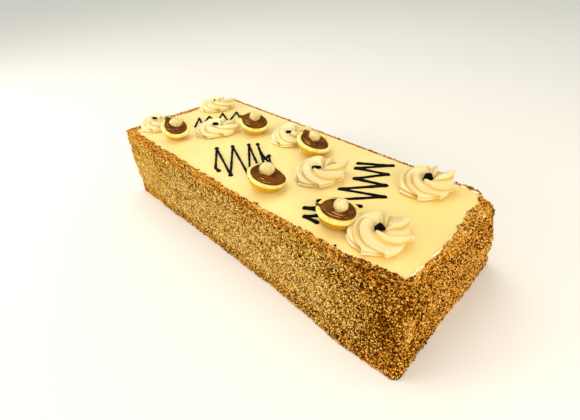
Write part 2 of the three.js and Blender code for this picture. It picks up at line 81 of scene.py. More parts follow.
# How wide the crumbs lie on the top, at shares of the way round from the left front corner
RIM_WIDTHS = np.array([
    [0, 11], [0.02, 9], [0.05, 6.5], [0.1, 6.5], [0.15, 4.5], [0.2, 3], [0.29, 3], [0.305, 2.4],
    [0.318, 3.2], [0.33, 4.5], [0.341, 6.4], [0.353, 7.6], [0.362, 6], [0.372, 5], [0.385, 3.4],
    [0.4, 3], [0.41, 3.8], [0.426, 7.3], [0.44, 10], [0.456, 14.4], [0.466, 16], [0.491, 17],
    [0.501, 17], [0.508, 3.4], [0.52, 3.8], [0.53, 3], [0.86, 3], [0.9, 4], [0.97, 8], [1, 11]])
LEAST_RIM = 1.6
RIM_SINK, RIM_RISE = 0.8, 1.6
REAR_DIP = 1.2
CORE_INSET = 2.1
CRUMB_STEP = 1.22
CRUMB_DEPTH = 1.5
CRUMB_RADIUS = 0.84
RIM_COUNT = 17000
LARGE_COUNT = 1100
# The mean size of crumbs on the wall, on the rim and of the largest ones, in plain crumbs
CRUMB_GROWTH = [1.0, 1.2, 1.85]
# The least and the most that a crumb's corners lie from its middle, in its own size
CRUMB_REACH = (0.62, 1.15)
# Each kind of crumb: its name, how brown its brownest crumb is, and its colour
CRUMB_KINDS = [
    ("crumbs_cream", 0.08, (0.95, 0.69, 0.25)),
    ("crumbs_pale", 0.32, (0.91, 0.61, 0.14)),
    ("crumbs_gold", 0.60, (0.73, 0.395, 0.038)),
    ("crumbs_brown", 0.85, (0.38, 0.15, 0.004)),
    ("crumbs_dark", 2.00, (0.085, 0.020, 0.0004)),
]
SPOT_TONES = ((0.52, 0.49, 0.42), (1.05, 1.09, 1.25))
ORANGE_TONE = (1.0, 0.76, 0.46)
LATTICE_KEYS = np.array([73856093, 19349663, 83492791])


def bell(value, middle, width):
    """1 at the middle, falling off smoothly on both sides: e to the minus square of the distance in
    widths."""
    return np.exp(-(((value - middle) / width) ** 2))


def ramp(value, start, end):
    """0 up to the start and 1 past the end, straight between; the end may be the lower one."""
    return np.clip((value - start) / (end - start), 0, 1)


def all_round(count):
    """Angles evenly spaced all the way round, in radians."""
    return 2 * np.pi * np.arange(count) / count


def at_height(flat, height):
    """Places in plan, with their height as the third coordinate."""
    return np.concatenate([flat, np.broadcast_to(height, flat.shape[:-1])[..., None]], -1)


def waves(x, y, scale, phase):
    """Noise from -1 to 1: the mean of three sine waves of unlike length laid across each other."""
    a = np.sin((x * 1.3 + y * 0.7) / scale + phase)
    b = np.sin((x * 0.6 - y * 1.7) / scale + 2.1 * phase + 1.7)
    c = np.sin((x * 2.9 + y * 2.3) / scale + 3.3 * phase + 4.2)
    return (a + b + c) / 3


def lumps(points, size, seed):
    """Noise from -1 to 1: random values on a lattice, blended smoothly between its corners."""
    spot = points / size
    cell = np.floor(spot).astype(np.int64)
    share = spot - cell
    share = share * share * (3 - 2 * share)
    total = np.zeros(points.shape[:-1])
    for corner in np.ndindex(2, 2, 2):
        mixed = np.bitwise_xor.reduce((cell + corner) * LATTICE_KEYS, axis=-1) ^ seed * 2654435
        mixed = (mixed * 1103515245 + 12345) >> 7
        value = (mixed & 65535) / 32767.5 - 1
        weight = np.prod(np.where(corner, share, 1 - share), axis=-1)
        total += weight * value
    return total


def block_outline(share, inset):
    """The rounded block's outline: four straight sides, each followed by a quarter circle. Gives
    the place at a share of the way round, drawn in by inset, and the direction out of it."""
    half = np.array([LENGTH, WIDTH]) / 2 - CORNER_RADIUS
    arc = CORNER_RADIUS * np.pi / 2
    way = (share % 1) * (4 * half.sum() + 4 * arc)
    place = np.zeros(share.shape + (2,))
    out = np.zeros_like(place)
    start = 0.0
    for side, centre in enumerate([(1, -1), (1, 1), (-1, 1), (-1, -1)]):
        straight = 2 * half[side % 2]
        facing = (side - 1) * np.pi / 2
        here = (way >= start) & (way < start + straight + arc)
        along = way[here] - start
        angle = facing + np.clip(along - straight, 0, None) / CORNER_RADIUS
        direction = np.stack([np.cos(angle), np.sin(angle)], -1)
        back = np.clip(straight - along, 0, None)
        reach = np.broadcast_to(CORNER_RADIUS - inset, share.shape)[here]
        place[here] = np.array(centre) * half + reach[:, None] * direction
        place[here] += back[:, None] * np.array([np.sin(facing), -np.cos(facing)])
        out[here] = direction
        start += straight + arc
    return place, out


def splay(place, height):
    """Moves a place of the plain block with its four corners, weighted by how near each is, bows
    the front's top edge outwards in its middle, and adds the pushes, which fade out as bells."""
    along = 2 * place[..., 0] / LENGTH
    across = 2 * place[..., 1] / WIDTH
    near = np.stack([(1 - along) * (1 - across), (1 + along) * (1 - across),
                     (1 + along) * (1 + across), (1 - along) * (1 + across)], -1) / 4
    up = (height / HEIGHT)[..., None, None]
    corners = (1 - up) * BASE_SPLAY + up * TOP_SPLAY
    moved = place + (near[..., None] * corners).sum(-2)
    front = np.clip(-across, 0, 1.1) ** 3 * np.clip(1 - along**2, 0, 1)
    moved[..., 1] -= FRONT_BOW * front * (height / HEIGHT) ** 2
    spot = at_height(moved, height)
    for push, at, reach in PUSHES:
        moved += np.exp(-(((spot - at) / reach) ** 2).sum(-1))[..., None] * push
    return moved


def wall(share, height, inset):
    """A point of the side wall: the splayed outline, bellied half way up, pitted by clumps of
    crumbs, and with a hollow near the right front corner. Also gives the direction out of it."""
    flat, out = block_outline(share, 0.0)
    flat = splay(flat, height)
    x, y = flat[..., 0], flat[..., 1]
    belly = SIDE_SAG * np.sin(np.pi * np.clip(height / HEIGHT, 0, 1))
    clumps = CLUMP_RELIEF * waves(x + 1.9 * height, y - 1.3 * height, CLUMP_SIZE, 0.9)
    rolls = ROLL_RELIEF * waves(x - height, y + 2 * height, ROLL_SIZE, 2.4)
    hollow = bell(x, HOLLOW_AT[0], HOLLOW_REACH[0]) * bell(height, HOLLOW_AT[1], HOLLOW_REACH[1])
    hollow = HOLLOW_DEPTH * hollow * (out[..., 1] < -0.9)
    foot = FOOT_SWELL * bell(height, 5, 6)
    swell = belly + clumps + rolls - hollow - inset + foot
    return at_height(flat + swell[..., None] * out, height), out


def rim_inset(share):
    """How far in from the edge the crumb band reaches there."""
    width = np.interp(share % 1, RIM_WIDTHS[:, 0], RIM_WIDTHS[:, 1])
    jag = RIM_JAG * waves(share * 2 * (LENGTH + WIDTH), 0.0, 6.1, 0.4)
    return np.maximum(width + jag, LEAST_RIM)


def ring_faces(rows, columns, closed=True):
    """Four-cornered faces between neighbouring rows of a grid whose columns may close on
    themselves."""
    across = np.arange(columns if closed else columns - 1)
    row, column = np.meshgrid(np.arange(rows - 1), across, indexing="ij")
    following = (column + 1) % columns
    quads = np.stack([row * columns + column, row * columns + following,
                      (row + 1) * columns + following, (row + 1) * columns + column], -1)
    return quads.reshape(-1, 4)


def closed_rings(grid):
    """A mesh of rings of points, rows by columns: its corners, the faces between neighbouring
    rings, and the two faces that close the first ring and the last."""
    rows, columns, _ = grid.shape
    last = (rows - 1) * columns
    caps = [range(columns)[::-1], range(last, last + columns)]
    return grid.reshape(-1, 3), ring_faces(rows, columns), caps


def make_piece(name, mesh, material, smooth=True):
    """An object from a mesh: its corners in millimetres, an array of faces, and further faces."""
    points, faces, caps = mesh
    data = bpy.data.meshes.new(name)
    data.from_pydata((points * MM).tolist(), [], faces.tolist() + [list(cap) for cap in caps])
    data.polygons.foreach_set("use_smooth", np.full(len(data.polygons), smooth))
    data.materials.append(material)
    data.update()
    piece = bpy.data.objects.new(name, data)
    bpy.context.scene.collection.objects.link(piece)
    return piece


class Wire:
    """A socket of a material's nodes. Sums, differences and products of wires and numbers add Math
    nodes, and node() adds any other node."""

    def __init__(self, tree, socket):
        self.tree = tree
        self.socket = socket

    def node(self, kind, settings, sockets, output=0):
        """Adds a node: first its settings, then the values or wires of its sockets. Gives the wire
        of one of its outputs."""
        made = self.tree.nodes.new("ShaderNode" + kind)
        for key, value in settings.items():
            setattr(made, key, value)
        for key, value in sockets.items():
            target = made.inputs[key]
            if isinstance(value, Wire):
                self.tree.links.new(value.socket, target)
            else:
                target.default_value = value
        return Wire(self.tree, made.outputs[output])

    def math(self, operation, *values):
        """Adds a Math node with this operation."""
        return self.node("Math", {"operation": operation}, dict(enumerate(values)))

    def __add__(self, other):
        return self.math("ADD", self, other)

    def __sub__(self, other):
        return self.math("SUBTRACT", self, other)

    def __rsub__(self, other):
        return self.math("SUBTRACT", other, self)

    def __mul__(self, other):
        return self.math("MULTIPLY", self, other)

    __radd__ = __add__
    __rmul__ = __mul__

    def between(self, low, high):
        """0 where the wire is at low, 1 where it is at high, smooth between."""
        settings = {"interpolation_type": "SMOOTHSTEP"}
        return self.node("MapRange", settings, {0: self, 1: low, 2: high, 3: 0.0, 4: 1.0})

    def axis(self, number):
        """One coordinate of this place in metres: 0 for X, 1 for Y or 2 for Z."""
        return self.node("SeparateXYZ", {}, {"Vector": self}, number)

    def attribute(self, name):
        """The number that each point of the piece carries under this name."""
        return self.node("Attribute", {"attribute_name": name}, {}, 2)

    def blend(self, first, second):
        """The colour first where the wire is 0 and second where it is 1."""
        first, second = [c if isinstance(c, Wire) else (*c, 1) for c in (first, second)]
        return self.node("Mix", {"data_type": "RGBA"}, {0: self, 6: first, 7: second}, 2)

    def noise(self, scale, detail=3.0, roughness=0.5):
        """Soft noise from 0 to 1 at this place; scale is its number of spots in a metre."""
        sockets = {"Vector": self, "Scale": scale, "Detail": detail, "Roughness": roughness}
        return self.node("TexNoise", {}, sockets)


def new_material(name, roughness, specular, soft=()):
    """A Principled material with the sockets that are the same all over set. Soft ones let light a
    little way in, by a weight, a radius for each of the three colours, and a scale. Gives the
    material, the wire of the place in the cake, and a function that links the other sockets."""
    material = bpy.data.materials.new(name)
    material.use_nodes = True
    tree = material.node_tree
    shader = tree.nodes["Principled BSDF"]
    fixed = ["Roughness", "Specular IOR Level",
             "Subsurface Weight", "Subsurface Radius", "Subsurface Scale"]
    for key, value in zip(fixed, (roughness, specular, *soft)):
        shader.inputs[key].default_value = value
    place = Wire(tree, tree.nodes.new("ShaderNodeTexCoord").outputs["Object"])

    def finish(**sockets):
        for key, wire in sockets.items():
            tree.links.new(wire.socket, shader.inputs[key.replace("_", " ")])

    return material, place, finish


def bump_from(place, height, distance, strength=1.0):
    """A Bump node's normal for a height from 0 to 1 that stands for a distance in metres."""
    return place.node("Bump", {}, {"Strength": strength, "Distance": distance, "Height": height})


def crumb_material(name, colour):
    """Dry crumb: matte, each spot a little lighter or darker, with a rough broken skin. On the rim,
    along the foot and on the right end all of them are more orange."""
    material, place, finish = new_material(name, roughness=1.0, specular=0.02)
    spots = [tuple(np.array(colour) * tone) for tone in SPOT_TONES]
    orange = [tuple(np.array(spot) * ORANGE_TONE) for spot in spots]
    patch = place.noise(480.0, 2.0).between(0.32, 0.68)
    along = place.axis(0)
    height = place.axis(2) + 0.02 * place.noise(90.0)
    warmth = height.between(0.078, 0.088) + (1 - height.between(0.014, 0.026)) * 0.6
    warmth = warmth + along.between(0.19, 0.199) * 0.25 + along.between(0.12, 0.19) * 0.6
    grain = place.noise(2600.0)
    finish(Base_Color=warmth.blend(patch.blend(*spots), patch.blend(*orange)),
           Normal=bump_from(place, grain, 0.0004, 0.6))
    return material


def core_mesh():
    """Rings round the cake: up the wall, over the rim and in to the middle of a shelf under the
    icing, drawn in behind the crumbs."""
    columns, levels = 640, 40
    share = np.arange(columns) / columns
    rows = [wall(share, np.full(columns, height), CORE_INSET)[0]
            for height in np.linspace(0.0, HEIGHT - 3.5, levels)]
    for inset, down in [(CORE_INSET + 1.2, 1.2), (CORE_INSET + 4.2, 1.4), (12.0, 3.4)]:
        outline = block_outline(share, np.full(columns, inset))[0]
        flat = splay(outline, np.full(columns, HEIGHT))
        rows.append(at_height(flat, HEIGHT - down))
    return closed_rings(np.stack(rows))


def scatter_wall(seed):
    """Places for crumbs on the wall: a grid of cells with one crumb anywhere in each, sunk in to an
    uneven depth that is less at the foot."""
    random = np.random.default_rng(seed)
    across = int(2 * (LENGTH + WIDTH) / CRUMB_STEP)
    up = int(HEIGHT / CRUMB_STEP)
    column, row = np.meshgrid(np.arange(across), np.arange(up))
    column = column + 0.5 * (row % 2)
    share = (column + random.uniform(-0.4, 0.4, column.shape)).ravel() / across
    height = (row + random.uniform(0.1, 0.9, row.shape)).ravel() * HEIGHT / up
    depth = CRUMB_DEPTH - ramp(height, 3, 0) + random.normal(0, 0.25, share.shape)
    return wall(share, height, depth)[0]


def scatter_rim(seed):
    """Places for crumbs on the top edge: a ragged band, highest in its middle, that slopes outwards
    where it is wide and lies lower along the rear."""
    random = np.random.default_rng(seed)
    share = random.uniform(0, 1, RIM_COUNT)
    inset = random.uniform(0.9, RIM_WIDTHS[:, 1].max() + 1, RIM_COUNT)
    flat = splay(block_outline(share, inset)[0], np.full(share.shape, HEIGHT))
    ragged = RIM_JAG * lumps(at_height(flat, 0), 3.4, 12)
    width = np.maximum(rim_inset(share) + 0.5 + ragged, LEAST_RIM)
    near = inset < width
    flat, share, inset, width = flat[near], share[near], inset[near], width[near]
    depth = inset / width
    hill = np.sin(np.pi * (0.1 + 0.8 * depth)) - 0.1 * np.clip(width - 6, 0, 9) * (1 - depth) ** 2
    dip = REAR_DIP * ramp(share, 0.52, 0.54) * ramp(share, 0.88, 0.86)
    height = HEIGHT - RIM_SINK - dip + RIM_RISE * hill + random.uniform(-0.4, 0.5, share.shape)
    return at_height(flat, height)


def scatter_large(seed):
    """Places for the largest crumbs, sunk half into the wall and lying closer towards the right."""
    random = np.random.default_rng(seed)
    share = random.uniform(0, 1, 6 * LARGE_COUNT)
    height = HEIGHT * random.uniform(0.03, 0.97, share.shape)
    places = wall(share, height, 2.2)[0]
    wanted = random.uniform(0, 1, share.shape) < 0.12 + 0.5 * ramp(places[:, 0], 0, 200)
    return places[wanted][:LARGE_COUNT]


def browning_and_painted_shade(places, chance):
    """How brown a crumb is there: more on and below the rim, along the foot and towards the right
    end, and as painted shade in the hollow by the right front corner, on the front beside it and on
    the right end near that corner; less on the right end's rim, and less as a painted highlight on
    the lit ridge beside the corner; and in patches the size of a thumb. Its chance from 0 to 1
    counts less on the rim and at the left, and more at the right."""
    x, y, height = places.T
    rim = ramp(height, 72, 77)
    under = bell(height, 64, 9)
    foot = ramp(height, 15, 6)
    right = ramp(x, 95, 170)
    left = ramp(x, -100, -170) * (1 - rim)
    at_front = y < -60
    front = at_front * ramp(x, 60, 150)
    # Painted light: hollow, shade and the bell in end darken the crumbs as painted shade, and the
    # ridge makes them paler as a painted highlight.
    hollow = at_front * bell(x, 191, 12) * bell(height, 40, 22)
    shade = at_front * bell(x, 165, 26) * bell(height, 38, 26)
    highlit_ridge = bell(x, 205, 6) * bell(y, -72, 6) * bell(height, 44, 20)
    end = (x > 196) * (0.03 + 0.13 * bell(y, -60, 24))
    end_rim = rim * ramp(x, 180, 190) * (y > -62)
    mean = (0.25 + 0.16 * right + 0.05 * left + 0.02 * front + 0.13 * under + end
            + (0.19 + 0.16 * front) * rim + (0.25 - 0.22 * right) * foot
            + 0.46 * hollow + 0.1 * shade - 0.7 * highlit_ridge - 0.26 * end_rim)
    contrast = 1.17 + 0.28 * right - 0.2 * rim - 0.5 * left
    patches = lumps(places, 19.0, 6) + 0.6 * lumps(places, 8.0, 7)
    return mean + contrast * (chance - 0.5) + (0.11 + 0.06 * right) * patches


def crumb_mesh(places, sizes, seed):
    """Joined crumbs: each has eight faces over six corners at uneven distances from its middle, and
    is turned by a random unit quaternion."""
    random = np.random.default_rng(seed)
    count = len(places)
    axes = np.concatenate([np.eye(3), -np.eye(3)])
    grain = axes * random.uniform(*CRUMB_REACH, (count, 6, 1))
    quaternion = random.normal(size=(count, 4))
    w, x, y, z = quaternion.T / np.linalg.norm(quaternion, axis=1)
    turn = np.array([[1 - 2 * (y * y + z * z), 2 * (x * y - z * w), 2 * (x * z + y * w)],
                     [2 * (x * y + z * w), 1 - 2 * (x * x + z * z), 2 * (y * z - x * w)],
                     [2 * (x * z - y * w), 2 * (y * z + x * w), 1 - 2 * (x * x + y * y)]])
    points = places[:, None] + sizes[:, None, None] * np.einsum("ijn,nkj->nki", turn, grain)
    sides = np.array([[0, 1, 2], [1, 3, 2], [3, 4, 2], [4, 0, 2],
                      [1, 0, 5], [3, 1, 5], [4, 3, 5], [0, 4, 5]])
    faces = sides + 6 * np.arange(count)[:, None, None]
    return points.reshape(-1, 3), faces.reshape(-1, 3), []


# Painted shade: the core under the crumbs is coloured dark brown to stand for the shade in the gaps
# between them.
painted_gap_shade, place, finish = new_material("crumb_gaps_painted_shade", roughness=1.0, specular=0.02)
gap_shade_grain = place.noise(700.0, 4.0, 0.65)
finish(Base_Color=gap_shade_grain.between(0.35, 0.65).blend((0.10, 0.029, 0.0006), (0.40, 0.17, 0.014)),
       Normal=bump_from(place, gap_shade_grain, 0.0012))
cake_core = make_piece("cake_core", core_mesh(), painted_gap_shade)
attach(cake_core, "root")
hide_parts("cake_body")

on_wall, on_rim, largest = scatter_wall(3), scatter_rim(4), scatter_large(8)
crumb_places = np.concatenate([on_wall, on_rim, largest])
growth = np.repeat(CRUMB_GROWTH, [len(on_wall), len(on_rim), len(largest)])
random = np.random.default_rng(5)
crumb_sizes = growth * CRUMB_RADIUS * random.uniform(0.72, 1.22, len(crumb_places))
reach = CRUMB_REACH[1] * crumb_sizes[:, None]
lowest_corner, highest_corner = np.array(cad_box) / MM
crumb_places = np.clip(crumb_places, lowest_corner + reach, highest_corner - reach)
brown_and_shade = browning_and_painted_shade(crumb_places, random.uniform(0, 1, len(crumb_places)))
lowest = -2.0
for number, (name, highest, colour) in enumerate(CRUMB_KINDS):
    chosen = (brown_and_shade >= lowest) & (brown_and_shade < highest)
    lowest = highest
    mesh = crumb_mesh(crumb_places[chosen], crumb_sizes[chosen], 20 + number)
    piece = make_piece(name, mesh, crumb_material(name, colour), smooth=False)
    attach(piece, "root")
    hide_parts("cake_body")

# Icing: yellow butter cream spread over the top with a palette knife, which leaves shallow waves
# and thin curved scrapes. It reaches under the crumbs of the rim, and a few wisps of it were
# pushed over the rim at the right end.
ICING_INSET = 2.0
ICING_DEPTH = 3.4
ICING_STEP = 1.2
EDGE_DROP, EDGE_ROUND = 2.4, 2.6
WAVE_HEIGHT = 0.22
SCRAPE_HEIGHT = 0.19
# Each wisp: the bends of its path, half its width and half its height
SMEARS = [
    ([(193.4, -62), (195.4, -55), (196.0, -48), (195.0, -41)], 1.0, 0.6),
    ([(193.8, -54), (194.6, -49), (194.0, -45)], 0.7, 0.4),
    ([(194.3, -34), (195.4, -29), (195.6, -23), (194.9, -19)], 1.1, 0.6),
    ([(193.2, -8), (193.0, -3), (192.3, 3)], 0.7, 0.4),
    ([(162.0, 64), (165.5, 66.8), (169, 66.5)], 1.3, 0.8),
    ([(172, 64.4), (178, 65.6), (183, 65.2)], 1.4, 0.8),
    ([(182, 62.4), (186, 63.6), (189.5, 62.2)], 1.2, 0.7),
]


def icing_relief(x, y):
    """Height of the icing over its flat top: broad waves, and scrapes that are narrow ridges of
    noise drawn out along a slowly bending line and kept to some places."""
    def noise(along, across, long, wide, seed):
        return lumps(np.stack([along / long, across / wide, 0 * along], -1), 1.0, seed)

    broad = noise(x, y, 30, 17, 31)
    thin = noise(x, y + 0.16 * x + 5 * np.sin(x / 46), 24, 2.1, 32)
    where = np.clip(noise(x, y, 34, 26, 33) + 0.25, 0, 1)
    return WAVE_HEIGHT * broad + SCRAPE_HEIGHT * where * (1 - np.abs(thin) * 2.2)


def icing_mesh():
    """A grid over the top whose square corners are turned to quarter circles, dropping at its edge,
    with a skirt and a flat underside."""
    half = np.array([LENGTH, WIDTH]) / 2 - ICING_INSET
    round_off = CORNER_RADIUS - ICING_INSET
    columns, rows = (2 * half / ICING_STEP).astype(int) + 1
    x, y = np.meshgrid(*[np.linspace(-most, most, n) for most, n in zip(half, (columns, rows))])
    edge = np.minimum(half[0] - np.abs(x), half[1] - np.abs(y))
    past_x, past_y = [ramp(np.abs(value), most - round_off, most)
                      for value, most in zip((x, y), half)]
    x = x - np.sign(x) * round_off * past_x * (1 - np.sqrt(1 - past_y**2 / 2))
    y = y - np.sign(y) * round_off * past_y * (1 - np.sqrt(1 - past_x**2 / 2))
    flat = splay(np.stack([x, y], -1), np.full(x.shape, HEIGHT))
    drop = EDGE_DROP * ramp(edge, EDGE_ROUND, 0) ** 2
    height = HEIGHT + icing_relief(x, y) * ramp(edge, 0, 6) - drop
    points = at_height(flat, height).reshape(-1, 3)
    index = np.arange(rows * columns).reshape(rows, columns)
    loop = np.concatenate([index[0, :-1], index[:-1, -1], index[-1, :0:-1], index[:0:-1, 0]])
    skirt = points[loop] * (1, 1, 0) + (0, 0, HEIGHT - ICING_DEPTH)
    below = len(points) + np.arange(len(loop))
    sides = np.stack([below, np.roll(below, -1), np.roll(loop, -1), loop], -1)
    faces = np.concatenate([ring_faces(rows, columns, closed=False), sides])
    return np.concatenate([points, skirt]), faces, [below[::-1]]


def tube(path, widths, heights, base, sides=14):
    """A closed tube along a path in plan. Its section is an ellipse whose half width and half
    height follow the path, and whose middle stands at the height base."""
    path = np.asarray(path, float)
    run = np.gradient(path, axis=0)
    run /= np.linalg.norm(run, axis=1)[:, None]
    across = np.stack([-run[:, 1], run[:, 0]], -1)
    angle = all_round(sides)
    side = np.cos(angle)[None, :, None] * (widths[:, None, None] * across[:, None])
    return closed_rings(at_height(path[:, None] + side, base + heights[:, None] * np.sin(angle)))


def join(meshes):
    """Several meshes as one: their corners one after another, with the faces' numbers moved on."""
    all_points, all_faces, all_caps, start = [], [], [], 0
    for points, faces, caps in meshes:
        all_points.append(points)
        all_faces.append(faces + start)
        all_caps += [[corner + start for corner in cap] for cap in caps]
        start += len(points)
    return np.concatenate(all_points), np.concatenate(all_faces), all_caps


def smooth_path(corners, step, rounding):
    """Points every step along straight runs between corners, averaged with their neighbours time
    after time, so that the corners become round. Also gives how far along each point and each
    corner lies."""
    corners = np.asarray(corners, float)
    lengths = np.linalg.norm(np.diff(corners, axis=0), axis=1)
    way = np.concatenate([[0], np.cumsum(lengths)])
    at = np.linspace(0, way[-1], max(int(way[-1] / step), 8))
    path = np.stack([np.interp(at, way, corners[:, axis]) for axis in (0, 1)], -1)
    for _ in range(rounding):
        path[1:-1] = (path[:-2] + 2 * path[1:-1] + path[2:]) / 4
    return path, at, way


def smear_mesh(corners, width, height):
    """A wisp of cream: a tube along a bent path, thick in the middle and thin at its ends."""
    path, at, way = smooth_path(corners, 0.7, 6)
    share = at / way[-1]
    swell = np.sin(np.pi * share) ** 0.7 + 0.03
    uneven = 1 + 0.35 * np.sin(at * 1.9 + corners[0][1]) * np.sin(at * 0.8)
    return tube(path, width * swell * uneven, height * swell, HEIGHT + 0.5)


icing, place, finish = new_material(
    "icing_cream", roughness=0.42, specular=0.35, soft=(0.1, (0.006, 0.004, 0.0015), 0.5))
tint = place.noise(26.0).between(0.3, 0.7)
stretched = place.node("Mapping", {}, {
    "Vector": place, "Rotation": (0, 0, 0.16), "Scale": (0.09, 1, 1)})
streaks = stretched.noise(520.0, 4.0, 0.55)
pores = place.noise(900.0, 2.0)
near_end = place.axis(0).between(0.04, 0.16)
middle = tint.blend((0.85, 0.65, 0.232), (0.88, 0.69, 0.272))
finish(Base_Color=near_end.blend(middle, (0.825, 0.60, 0.205)),
       Normal=bump_from(place, streaks * 0.8 + pores * 0.2, 0.00022, 0.7))
icing_sheet = make_piece("icing_sheet", icing_mesh(), icing)
wisp_cream, place, finish = new_material(
    "wisp_cream", roughness=0.4, specular=0.35, soft=(0.1, (0.006, 0.004, 0.002), 0.5))
wisp_tint = place.noise(300.0, 2.0).between(0.3, 0.7)
finish(Base_Color=wisp_tint.blend((0.89, 0.72, 0.34), (0.91, 0.80, 0.50)),
       Normal=bump_from(place, place.noise(900.0, 2.0), 0.0002, 0.6))
icing_wisps = make_piece("icing_wisps", join([smear_mesh(*smear) for smear in SMEARS]), wisp_cream)
for piece in (icing_sheet, icing_wisps):
    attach(piece, "root")
    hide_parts("icing_top")

# Chocolate lines: three zigzags of melted dark chocolate piped on the icing in one run each. The
# line is thin where the bag moves fast. The first one swings round its turns, and the other two
# leave a drop at each turn.
LINE_HALF_WIDTHS = [1.15, 1.2, 1.65]
LINE_ROUNDINGS = [14, 3, 3]
LINE_HALF_HEIGHT = 1.1
DROP_RADIUS = 2.3
DROP_HEIGHT = 1.75
# A speck that fell by the front edge: its place, radius and height
SPECK = (133.9, -68.0, 1.0, 1.1)
LINES = [
    [[-146, -17], [-168, 2], [-145.5, -6.8], [-163, 13.5], [-139, 7.8], [-158, 30], [-128, 18.7],
     [-149, 45], [-124, 34], [-134, 54], [-126, 53]],
    [[-30.6, -59.7], [-38, -58.6], [-75.4, -32.8], [-14.4, -57.1], [-66.2, -18.7], [4.5, -48.3],
     [-56.4, -4.6], [-2.8, -31.4], [-2.8, -24.8], [-49.5, 2.4], [-29.5, -8.7], [-2.7, -17.8],
     [-17.9, -7.4], [-16, -14]],
    [[64, 40], [93, 58], [69, 31], [100, 41], [81, 15], [111, 24], [83, -8], [122, 8],
     [82, -34], [115, -17], [81, -49], [96.5, -42.5], [97, -50], [90, -57.5], [103.2, -56.8]],
]


def lathe(out, angle, up):
    """Points at a distance out from an upright axis, in a direction and at a height."""
    return np.stack(np.broadcast_arrays(out * np.cos(angle), out * np.sin(angle), up), -1)


def drop_mesh(x, y, radius, height):
    """A drop: half an ellipsoid in spherical coordinates, standing on the icing."""
    polar = np.linspace(0, 1.45, 6)[:, None]
    up = HEIGHT + height * np.sin(polar)
    return closed_rings(lathe(radius * np.cos(polar), all_round(16), up) + (x, y, 0))


def turn_drops(corners):
    """A drop of chocolate at both ends of a line and at each turn sharper than a right angle."""
    corners = np.asarray(corners, float)
    runs = np.diff(corners, axis=0)
    runs /= np.linalg.norm(runs, axis=1)[:, None]
    sharp = np.concatenate([[True], (runs[1:] * runs[:-1]).sum(1) < 0, [True]])
    sizes = 1 + 0.08 * np.sin(7.0 * np.arange(len(corners)))
    return [drop_mesh(x, y, DROP_RADIUS * size, DROP_HEIGHT * size)
            for (x, y), size, wanted in zip(corners, sizes, sharp) if wanted]


def line_mesh(corners, half_width, rounding):
    """A piped line: a flattened tube along the stroke, fuller near each turn and at both ends,
    where it closes to a round tip."""
    path, at, way = smooth_path(corners, 0.55, rounding)
    blob = bell(np.abs(at[:, None] - way[None, :]).min(axis=1), 0, 2.9)
    wander = 0.1 * np.sin(at / 5.3) + 0.07 * np.sin(at / 1.9 + 1)
    tip = np.sqrt(1 - (1 - np.clip(np.minimum(at, way[-1] - at) / 1.3, 0.03, 1)) ** 2)
    width = half_width * (1 + wander + 0.3 * blob) * tip
    height = LINE_HALF_HEIGHT * (1 + 0.25 * blob + 0.5 * wander) * tip
    return tube(path, width, height, HEIGHT + 0.35)


chocolate, place, finish = new_material("dark_chocolate", roughness=0.42, specular=0.03)
cloud = place.noise(160.0).between(0.3, 0.75)
finish(Base_Color=cloud.blend((0.002, 0.0014, 0.001), (0.005, 0.003, 0.002)),
       Normal=bump_from(place, place.noise(700.0), 0.0002, 0.5))
piped = [line_mesh(*line) for line in zip(LINES, LINE_HALF_WIDTHS, LINE_ROUNDINGS)]
drops = [drop for corners in LINES[1:] for drop in turn_drops(corners)]
chocolate_mesh = join(piped + drops + [drop_mesh(*SPECK)])
chocolate_lines = make_piece("chocolate_lines", chocolate_mesh, chocolate)
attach(chocolate_lines, "root")
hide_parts("icing_top")

# Rosettes: whipped butter cream piped through a star tip in one turn and a half. Seven or eight
# crests wind outwards over broad soft hollows, the last of the rope is pulled up into a point,
# and the first turn looks out from under the front. A chip of chocolate lies in each middle.
CRATER_FLOOR = 0.56
CREST_DEPTH = 5.6
CREST_STEPS = 34
CREST_SHARE = 0.92
# How far a crest winds, in the middle and more or less by direction, and where it is most
TURN_MEAN, TURN_SWING, TURN_MOST = 80, 50, 290
# Directions of the first turn under the front, of the open petals and of the drawn-in side
LOWER_TURN, PETALS, DRAWN_SIDE = 245, 48, 332
ROSETTE_SECTION = np.array([
    [0.80, -0.03], [0.89, 0.05], [0.93, 0.13], [0.915, 0.22], [0.965, 0.33], [0.975, 0.42],
    [0.92, 0.57], [0.81, 0.71], [0.67, 0.83], [0.54, 0.92], [0.44, 0.945], [0.36, 0.90],
    [0.28, 0.77], [0.19, 0.64], [0.09, 0.585], [0.0, 0.58]])
